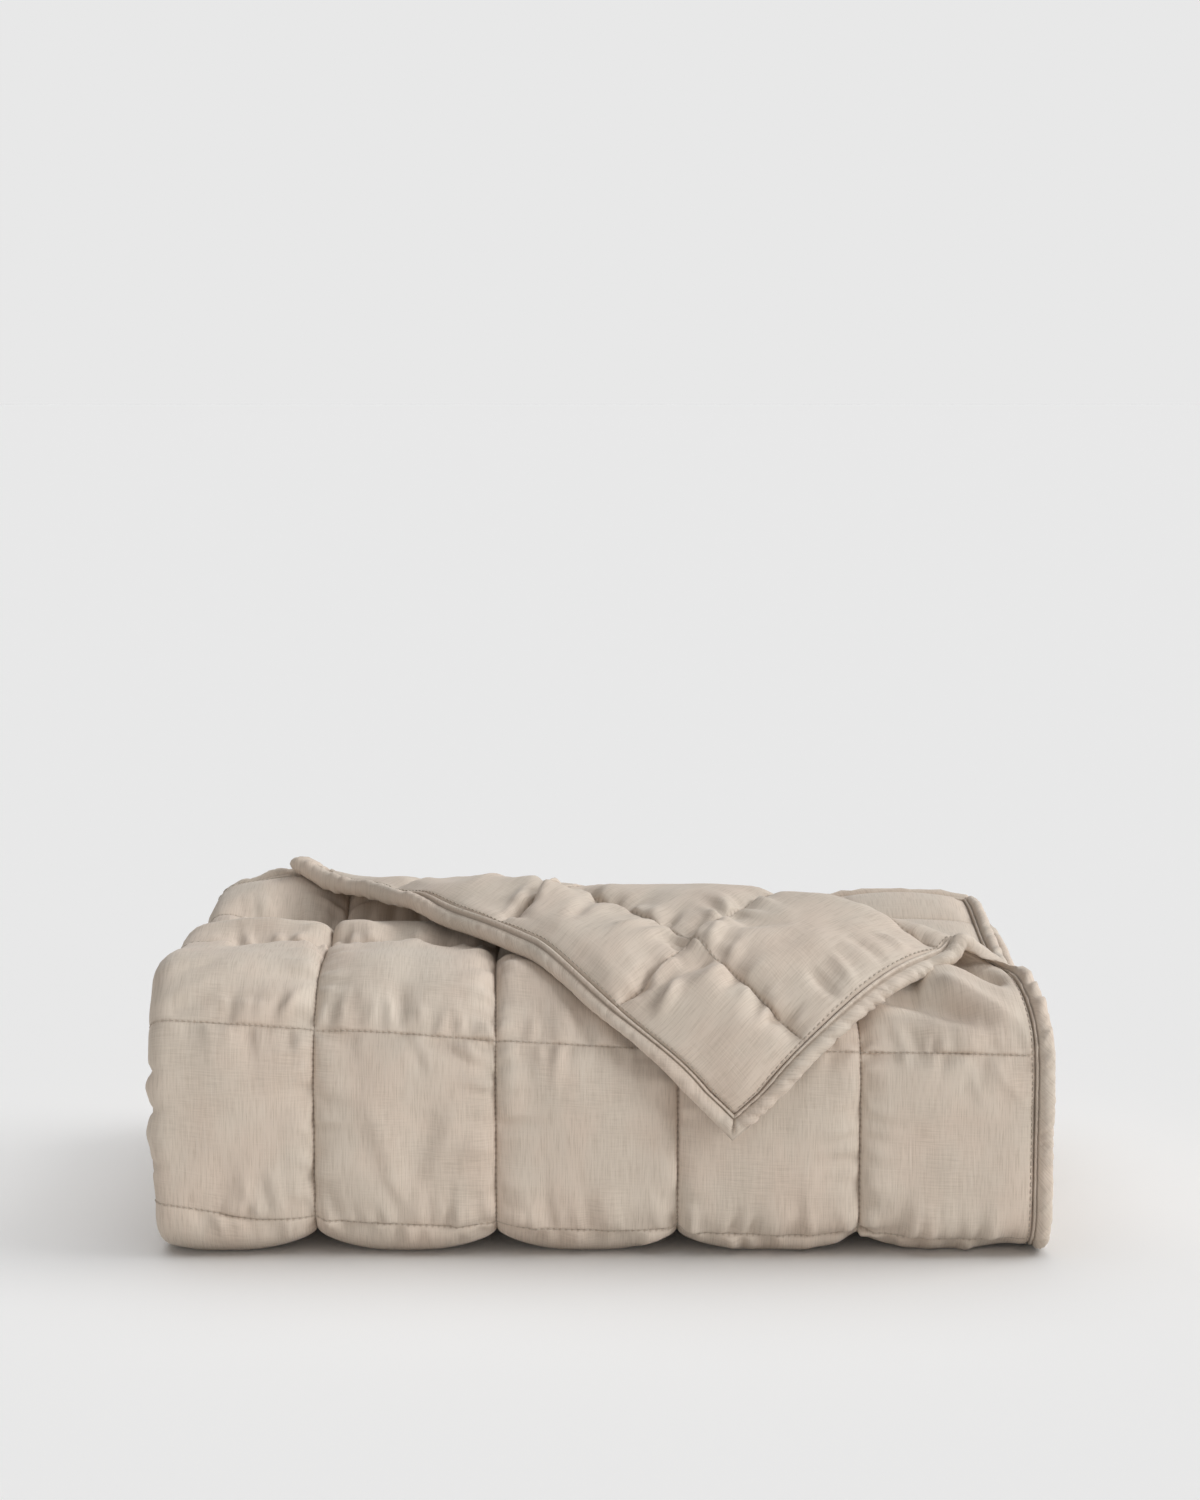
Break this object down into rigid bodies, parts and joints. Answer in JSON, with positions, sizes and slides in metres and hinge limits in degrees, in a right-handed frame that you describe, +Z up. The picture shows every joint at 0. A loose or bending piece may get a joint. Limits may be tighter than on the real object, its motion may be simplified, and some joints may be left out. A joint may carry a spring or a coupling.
{
  "type": "folded quilt",
  "caption": "Folded linen quilt stitched in squares, with a bound edge all round and a top corner turned down over the rounded front fold.",
  "frame": {"origin": "middle of the folded stack's bounding box, on the surface that it rests on", "axes": "+X along the stack's long side towards its bound side edge, -Y towards the rounded front fold, +Z up"},
  "size_m": [0.6202, 0.3812, 0.2279],
  "materials": {
    "quilt_cloth": "matte slubbed linen weave",
    "binding_cloth": "matte linen, cut on the bias"
  },
  "bodies": {
    "root": {"quilt_panel": "quilt_cloth", "binding": "binding_cloth"}
  },
  "joints": []
}
